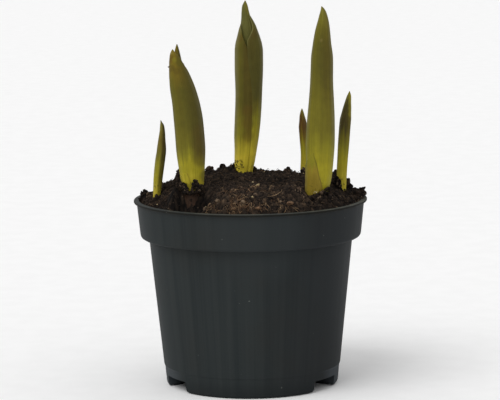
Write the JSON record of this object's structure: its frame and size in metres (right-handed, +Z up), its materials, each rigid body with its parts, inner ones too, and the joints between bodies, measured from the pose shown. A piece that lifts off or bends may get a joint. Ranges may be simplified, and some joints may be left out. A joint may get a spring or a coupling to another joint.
{
  "type": "potted gladiolus",
  "caption": "Young gladiolus shoots with folded sword leaves rising from corms in a round tapered nursery pot of peat with a rim band and feet.",
  "frame": {"origin": "on the ground under the middle of the pot", "axes": "+Z up, -Y towards the viewer of the picture, +X to the viewer's right"},
  "size_m": [0.13, 0.13, 0.2124],
  "materials": {
    "pot_plastic": "satin",
    "potting_soil": "matte",
    "corm_skin": "satin",
    "leaf_green": "satin",
    "sheath_yellow": "satin"
  },
  "bodies": {
    "root": {"pot": "pot_plastic", "soil": "potting_soil", "left_corm": "corm_skin", "middle_corm": "corm_skin", "right_corm": "corm_skin", "far_left_corm": "corm_skin", "back_right_corm": "corm_skin", "far_right_corm": "corm_skin", "left_shoot_outer_leaf": "leaf_green", "left_shoot_inner_leaf": "leaf_green", "left_shoot_base_sheath": "sheath_yellow", "middle_shoot_left_leaf": "leaf_green", "middle_shoot_right_leaf": "leaf_green", "middle_shoot_spear_leaf": "leaf_green", "right_shoot_sword_leaf": "leaf_green", "right_shoot_base_sheath": "sheath_yellow", "far_left_shoot_leaf": "leaf_green", "back_right_shoot_leaf": "leaf_green", "far_right_shoot_leaf": "leaf_green"}
  },
  "joints": []
}
